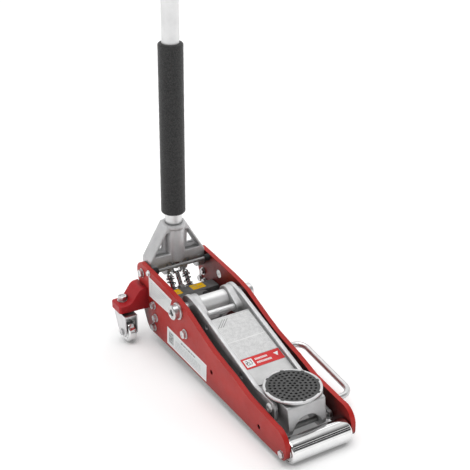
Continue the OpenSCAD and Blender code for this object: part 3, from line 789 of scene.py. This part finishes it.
domes = Shape()
for low, high in right_solids("arm_front_bolts"):
    seat, socket = high.x - 3.4, high.x - 1.2
    dome = [(r, seat + x) for r, x in arc((4.8, 0.2), 3.2, 0, 90, 6)]
    domes.lathe([(0, low.x), (6, low.x), (6, seat), (8, seat)] + dome[1:] +
                [(3.2, high.x), (2.6, socket), (0, socket)], cross_frame(*middle_yz(low, high)), 48)
domes.mirror_x()
finished(domes, "arm_front_bolts", BRIGHT_BAR)


# ---- Carry handle ----

def carry_handle():
    """Bent rod: stud, leg, bend, run, bend, leg, stud."""
    studs = (Vector((0, *middle_yz(*box))) for box in right_solids("carry_handle_nuts"))
    front, rear = sorted(studs, key=lambda v: v.y)
    rod, stud, bend, steps = 5.5, 4.2, 20, 12
    x = Vector((1, 0, 0))
    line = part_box("carry_handle")[1].x / MM - rod

    def half(foot, way):
        """From the stud's inner end to the end of the bend, where the rod goes off along way."""
        centre = foot + x * (line - bend) + way * bend
        legs = (PLATE_IN + 1, PLATE_OUT - 0.3, PLATE_OUT + 0.1, PLATE_OUT + 12)
        turns = [math.pi / 2 * k / steps for k in range(steps + 1)]
        return [foot + x * leg for leg in legs] + [
            centre + bend * (x * math.sin(a) - way * math.cos(a)) for a in turns]

    along = (rear - front).normalized()
    path = half(front, along) + half(rear, -along)[::-1]
    radii = [stud] * 2 + [rod] * (len(path) - 4) + [stud] * 2
    shape = Shape()
    shape.sweep([p * MM for p in path], [r * MM for r in radii], 40)
    return finished(shape, "carry_handle", BENT_ROD, 40)


carry_handle()


# ---- Pumps, release rod and springs ----

def pump_side(x):
    return Matrix.Translation((x * MM, 0, 0)) @ PUMP


PUMP_X = max(high.x + low.x for low, high in right_solids("pump_plungers")) / 2
barrel = Shape()
barrel.lathe([(4.6, -58), (9, -58), (9, -50.6), (8, -50), (8, -49.4), (9, -48.8), (9, -47.6),
              (8.4, -47), (4.6, -47)], pump_side(PUMP_X), 48, True)
barrel.mirror_x()
finished(barrel, "pump_barrels", IRON)

# Rod, spring collar and a round head that the yoke presses
plunger = Shape()
plunger.lathe([(0, -49), (4.1, -49), (4.5, -48.6), (4.5, -24.6), (8.1, -24.5), (8.4, -24.2),
               (8.4, -22.8), (8.1, -22.5), (6, -22.4)] + arc((0, -20), 6, 0, 84, 12) + [(0, -14)],
              pump_side(PUMP_X), 48)
plunger.mirror_x()
finished(plunger, "pump_plungers", CHROME)


def helix(radius, pitch_points, matrix, steps=26):
    """Points along a coil. pitch_points are (turns, height) in order."""
    path = []
    for (t0, z0), (t1, z1) in zip(pitch_points, pitch_points[1:]):
        count = max(2, round((t1 - t0) * steps))
        path += [(t0 + (t1 - t0) * i / count, z0 + (z1 - z0) * i / count) for i in range(count)]
    path.append(pitch_points[-1])
    return [matrix @ Vector((radius * math.cos(math.tau * t), radius * math.sin(math.tau * t), z))
            for t, z in path]


# Pump springs, squashed by the plungers' stroke of 8 mm
SPRING_FOOT, SPRING_HEAD, WIRE = -46.1, -25.4, 0.88
springs = Shape()
coil = [(0, SPRING_FOOT), (0.8, SPRING_FOOT + 1.8), (2.4, SPRING_HEAD - 1.6), (3.2, SPRING_HEAD)]
springs.sweep(helix(7.4, coil, pump_side(PUMP_X)), WIRE * MM, 10)
springs.mirror_x()
piece = springs.object("pump_springs_look", BLACK_STEEL, 60)
stands_for(piece, "pump_springs")
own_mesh(piece)

gland = Shape()
gland.hex_head(13.4, 6, PUMP @ Matrix.Translation((0, 0, -48)), 0.5, 4.6)
finished(gland, "release_gland", ZINC)


def return_springs():
    """Pull springs from the power block to the crank pin, built at their rest length; the real springs stretch as
    the arm rises.
    """
    low, high = (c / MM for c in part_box("return_springs"))
    z = (low.z + high.z) / 2
    right = sum(right_solids("return_springs")[0], Vector()) / 2
    backward = Matrix.Rotation(math.radians(-90), 4, "X")
    where = MILLIMETRES @ Matrix.Translation((right.x, 0, z)) @ backward
    coil, wire = 3.5, 0.75
    body = helix(coil, [(0, low.y + 4), (14, high.y - 7)], where, 18)
    hook = [where @ Vector((coil, 0, y)) for y in (low.y, low.y + 2)]
    tail = [where @ Vector((coil, 0, y)) for y in (high.y - 4, high.y)]
    shape = Shape()
    shape.sweep([*hook, *body, *tail], wire * MM, 8)
    shape.mirror_x()
    made = shape.object("return_springs_look", BLACK_STEEL, 60)
    stands_for(made, "return_springs", ride=False)
    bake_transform(made)


return_springs()


# ---- Films and printed marks ----

FILM, PRINT = 0.4, 0.06


def upward(where):
    """One millimetre along a frame's local Z."""
    return where.to_3x3() @ Vector((0, 0, 1))


def rectangle(where, x0, x1, y0, y1, z=0.0):
    return [where @ Vector((x, y, z)) for x, y in ((x0, y0), (x1, y0), (x1, y1), (x0, y1))]


def film_base(shape, where, x0, x1, y0, y1):
    """The film itself, whose upper face is the frame's plane."""
    shape.prism(rectangle(where, x0, x1, y0, y1, -FILM), upward(where) * FILM)


def mark(shape, where, x0, x1, y0, y1, paint):
    """Rectangle of print on a film, in the film's own frame."""
    shape.paint = paint
    shape.prism(rectangle(where, x0, x1, y0, y1), upward(where) * PRINT)


def rows(shape, where, x0, x1, y0, y1, count, paint, weight=0.45):
    """Rows of short dashes that stand for lines of small print."""
    pitch = (y1 - y0) / count
    for k in range(count):
        y = y0 + pitch * (k + 0.5 - weight / 2)
        x = x0
        while x < x1 - 1:
            end = min(x + rng.uniform(1.5, 5), x1)
            mark(shape, where, x, end, y, y + pitch * weight, paint)
            x = end + 0.7


def pattern(shape, where, x0, y0, size, cells, paint):
    """Square of random cells."""
    step = size / cells
    for i in range(cells):
        for j in range(cells):
            if rng.random() < 0.5:
                x, y = x0 + i * step, y0 + j * step
                mark(shape, where, x, x + 0.96 * step, y, y + 0.96 * step, paint)


def side_labels():
    """Two films on the left plate with rows of dashes for words, and a square of random cells on
    the long one."""
    shape = Shape()
    for points in sorted(solids("side_labels"), key=lambda p: extent(p)[0].y):
        low, high = extent(points)
        face = [p for p in points if p.x < low.x + 0.1]
        rear = sorted((p for p in face if p.y > (low.y + high.y) / 2), key=lambda p: p.z)
        front = sorted((p for p in face if p.y < (low.y + high.y) / 2), key=lambda p: p.z)
        corners = [rear[0], front[0], front[-1], rear[-1]]
        shape.paint = 0
        shape.prism([c * MM for c in corners], Vector((high.x - low.x, 0, 0)) * MM)

        def inside(u, v):
            """Point at a share u of the label's length and v of its height."""
            lower = corners[0].lerp(corners[1], u)
            upper = corners[3].lerp(corners[2], u)
            return lower.lerp(upper, v) * MM

        def patch(u0, u1, v0, v1, paint, layer=1):
            shape.paint = paint
            lift = Vector((-PRINT * MM * layer, 0, 0))
            shape.prism([inside(u, v) + lift for u, v in ((u0, v0), (u1, v0), (u1, v1), (u0, v1))],
                        Vector((PRINT * MM, 0, 0)))

        def dashes(u, stop, v, thick, paint):
            while u < stop:
                end = min(u + rng.uniform(0.02, 0.07), stop)
                patch(u, end, v, v + thick, paint, 2)
                u = end + 0.012

        patch(0.02, 0.98, 0.07, 0.93, 1)
        if high.y - low.y > 100:
            patch(0.05, 0.17, 0.18, 0.84, 3, 2)
            for i in range(7):
                for j in range(7):
                    if rng.random() < 0.5:
                        u, v = 0.055 + i * 0.0157, 0.21 + j * 0.087
                        patch(u, u + 0.014, v, v + 0.08, 2, 3)
            dashes(0.36, 0.72, 0.76, 0.07, 2)
            lines = [(0.22, 0.86, 0.60 - k * 0.075) for k in range(7)]
        else:
            lines = [(0.10, 0.50 + 0.08 * k, 0.30 + k * 0.12) for k in range(5)]
        for start, stop, v in lines:
            dashes(start, stop, v, 0.03, 3)
    return finished(shape, "side_labels", [WHITE_FILM, PALE_FILM, INK, FAINT_INK], weighted=False)


side_labels()

stickers = Shape()
for points in solids("block_stickers"):
    where, half_x, half_y = upper_face("block_stickers", points)
    stickers.paint = 0
    film_base(stickers, where, -half_x, half_x, -half_y, half_y)
    for x0, x1 in ((-half_x * 0.86, -half_x * 0.86 + 0.5), (half_x * 0.84, half_x * 0.86 + 0.3)):
        mark(stickers, where, x0, x1, -half_y * 0.8, half_y * 0.8, 1)
    rows(stickers, where, -half_x * 0.6, half_x * 0.7, -half_y * 0.7, half_y * 0.1, 3, 1, 0.3)
    rows(stickers, where, -half_x * 0.6, half_x * 0.1, half_y * 0.2, half_y * 0.7, 1, 1, 0.6)
finished(stickers, "block_stickers", [YELLOW_FILM, INK], weighted=False)


def cover_panel():
    """Speckled sheet in two halves with a pale seam, and thin lines across its rear left corner."""
    shape = Shape()
    where, half_x, half_y = upper_face("cover_panel", solids("cover_panel")[0])
    seam = -half_y * 0.17
    for y0, y1 in ((-half_y, seam - 0.8), (seam + 0.8, half_y)):
        film_base(shape, where, -half_x, half_x, y0, y1)
    sunk = where @ Matrix.Translation((0, 0, -FILM / 2))
    mark(shape, sunk, -half_x, half_x, seam - 1.2, seam + 1.2, 1)
    shape.paint = 2
    side = Vector((0.35, -0.35))
    for gap in (0, 5, 10):
        start = Vector((-half_x + 2 + gap, half_y - 20))
        stop = start + Vector((18, 17))
        corners = (start - side, start + side, stop + side, stop - side)
        shape.prism([where @ Vector((*p, 0)) for p in corners], upward(where) * 0.04)
    for x in (-half_x + 0.5, half_x - 1.1):
        mark(shape, where, x, x + 0.6, -half_y + 1, half_y - 1, 1)
    return finished(shape, "cover_panel", [SPECKLE, WHITE_FILM, INK], weighted=False)


def cover_band():
    """Red band with a white square, two rows of dashes and a small triangle."""
    shape = Shape()
    where, half_x, half_y = upper_face("cover_band", solids("cover_band")[0])
    film_base(shape, where, -half_x, half_x, -half_y, half_y)
    mark(shape, where, -half_x + 4, -half_x + 21, -8.5, 8.5, 1)
    above = where @ Matrix.Translation((0, 0, PRINT))
    pattern(shape, above, -half_x + 6.5, -6, 12, 8, 2)
    for y, stop in ((2.2, 50), (-6.0, 54)):
        x = -half_x + 26
        while x < -half_x + stop:
            mark(shape, where, x, x + 1.5, y, y + 4.2, 1)
            x += 2.3
    shape.paint = 1
    middle = Vector((half_x - 9, 1.0, 0))
    shape.prism([where @ (middle + Vector(p)) for p in ((0, -4, 0), (4.5, 5, 0), (-5.5, 4, 0))],
                upward(where) * PRINT)
    return finished(shape, "cover_band", [RED_FILM, WHITE_FILM, INK], weighted=False)


cover_panel()
cover_band()


# ---- Saddle ----

def saddle():
    """Turned cup whose rim is notched inside, and a dimpled rubber pad keyed into it."""
    low, high = (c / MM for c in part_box("saddle_cup"))
    axis = SADDLE_AXIS / MM
    up = MILLIMETRES @ Matrix.Translation((axis.x, axis.y, 0))
    rim = (high.x - low.x) / 2
    top = high.z
    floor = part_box("saddle_pad")[0].z / MM
    steps = 192

    def notched(radius, height, depth=2.4):
        """Ring with a short notch in each eighth of a turn."""
        points = []
        for k in range(steps):
            a = math.tau * k / steps
            turn = (a / (math.tau / 8) + 0.3) % 1
            r = radius + (depth if turn < 0.14 else 0)
            points.append((r * math.cos(a), r * math.sin(a), height))
        return points

    cup = Shape()
    rings = [round_ring(r, z, steps) for r, z in (
        (11.5, low.z), (12, low.z + 0.5), (12, floor - 4.4), (12.8, floor - 3.6),
        (rim - 6, floor - 3.6), (rim - 3.4, floor - 2.9), (rim - 0.9, floor - 0.6),
        (rim, floor + 0.8), (rim, top - 1.1), (rim - 0.35, top - 0.35), (rim - 1.1, top))]
    rings += [notched(rim - 4.2, top), notched(rim - 4.7, top - 0.5), notched(rim - 4.9, floor)]
    cup.stack(rings, up)
    finished(cup, "saddle_cup", ZINC, 40)

    pad = Shape()
    size = rim - 5.05
    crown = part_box("saddle_pad")[1].z / MM
    edge = [point[:2] for point in notched(size, 0, 2.2)]
    pitch, dimple = 7.7, 2.4
    dimples = [circle((0, 0), dimple, 12)]
    for ring in range(1, 6):
        for k in range(6 * ring):
            a = math.tau * (k + 0.5 * (ring % 2)) / (6 * ring)
            middle = pitch * ring * math.cos(a), pitch * ring * math.sin(a)
            dimples.append(circle(middle, dimple, 12))
    pad.slab(edge, crown - 2, crown, up, dimples, 0.25, 2)
    pad.paint = 1
    pad.stack([round_ring(size - 0.4, floor, 96), round_ring(size - 0.4, crown - 1.98, 96)], up)
    finished(pad, "saddle_pad", [RUBBER, BLACK], 40)


saddle()


# ---- Handle ----

def foam_sleeve():
    """Foam with soft ends and a slightly uneven surface."""
    points = [HANDLE.inverted() @ v.co for v in frame["nodes"]["foam_sleeve"].data.vertices]
    low, high = extent(points)
    outer = high.x
    inner = min(math.hypot(p.x, p.y) for p in points)
    soft, count = 4, 60
    start, stop = low.z + soft, high.z - soft
    profile = [(inner, low.z)] + arc((outer - soft, start), soft, -80, 0, 8)
    for k in range(1, count):
        z = start + (stop - start) * k / count
        profile.append((outer - 0.12 + rng.uniform(-0.1, 0.1), z))
    profile += arc((outer - soft, stop), soft, 0, 80, 8) + [(inner, high.z)]
    shape = Shape()
    shape.lathe(profile, HANDLE, 96, True)
    return finished(shape, "foam_sleeve", FOAM, 40, False)


foam_sleeve()


# ---- Studio ----

SOFTBOX, BACK_WALL, HORIZON = 2.9, 0.9, 1.0


def studio():
    """White floor, a broad overhead softbox, a bright cyclorama behind the jack and a dim room in
    front of it, all in the world, which the camera itself sees as plain pale."""
    bpy.ops.mesh.primitive_plane_add(size=40)
    floor = bpy.context.object
    floor.name = "studio_floor"
    f = Finish("studio_floor", {"Specular IOR Level": 0.0, "Emission Color": (1, 1, 1, 1),
                                "Emission Strength": 0.2})
    pale = f.mix(f.remap(f.noise(3), 0, 1), grey(0.90), grey(0.915))
    # The floor's colour turns dark where the jack crowds over it: a painted contact shadow.
    f.colour(f.mix(f.remap(f.open_air(0.25, 16), 0, 1, 0.22, 0.42), grey(0.16), pale))
    f.roughness(f.remap(f.noise(5), 0.85, 0.95))
    floor.data.materials.append(f.material)

    world = bpy.data.worlds.new("studio")
    bpy.context.scene.world = world
    world.use_nodes = True
    tree = world.node_tree
    sky = tree.nodes["Background"]
    sky.inputs["Color"].default_value = (1, 1, 1, 1)

    def add(kind, inputs, **settings):
        return add_to(tree, kind, inputs, **settings).outputs

    def ramp(value, bands):
        """Level by value, from (place, level) pairs."""
        node = add_to(tree, "ShaderNodeValToRGB", {0: value})
        stops = node.color_ramp.elements
        for place, _ in bands[1:-1]:
            stops.new(place)
        for stop, (place, level) in zip(stops, bands):
            stop.position = place
            stop.color = (level, level, level, 1)
        return node.outputs[0]

    def combine(a, b, operation):
        return add("ShaderNodeMath", {0: a, 1: b}, operation=operation)[0]

    way = add("ShaderNodeTexCoord", {})["Generated"]
    up = add("ShaderNodeSeparateXYZ", {0: way})["Z"]
    behind = add("ShaderNodeVectorMath", {0: way, 1: (0.516, 0.857, 0)},
                 operation="DOT_PRODUCT")["Value"]
    back = add("ShaderNodeMapRange", {"Value": behind, "From Min": -0.1, "From Max": 0.35,
                                      "To Min": 0.05, "To Max": BACK_WALL})[0]
    # Bands by height in the sky, 0 at the horizon and 1 overhead, with two thin strips in glow
    # for the chrome to mirror
    overhead = ramp(up, [(0, 0), (0.88, 0), (0.93, 1), (1, 1)])
    wall = ramp(up, [(0, 0), (0.24, 0), (0.34, 1), (0.88, 1), (0.93, 0), (1, 0)])
    glow = ramp(up, [(0, 1), (0.24, 1), (0.34, 0), (0.50, 0), (0.51, 0.9), (0.53, 0.9), (0.54, 0),
                     (0.68, 0), (0.69, 0.9), (0.72, 0.9), (0.73, 0), (1, 0)])
    lit = combine(combine(overhead, SOFTBOX, "MULTIPLY"), combine(wall, back, "MULTIPLY"), "ADD")
    total = combine(lit, combine(glow, HORIZON, "MULTIPLY"), "ADD")
    seen = add("ShaderNodeLightPath", {})["Is Camera Ray"]
    plain = add("ShaderNodeMix", {0: seen, 2: total, 3: 1.0})[0]
    tree.links.new(plain, sky.inputs["Strength"])


def camera():
    """The photo's own point of view."""
    data = bpy.data.cameras.new("camera")
    data.lens = 85.12
    made = bpy.data.objects.new("camera", data)
    bpy.context.scene.collection.objects.link(made)
    made.location = (-0.87667, -1.42223, 1.13052)
    made.rotation_euler = (math.radians(63.38), 0, math.radians(-31.36))
    bpy.context.scene.camera = made


studio()
camera()
bpy.context.scene.view_settings.view_transform = "Standard"
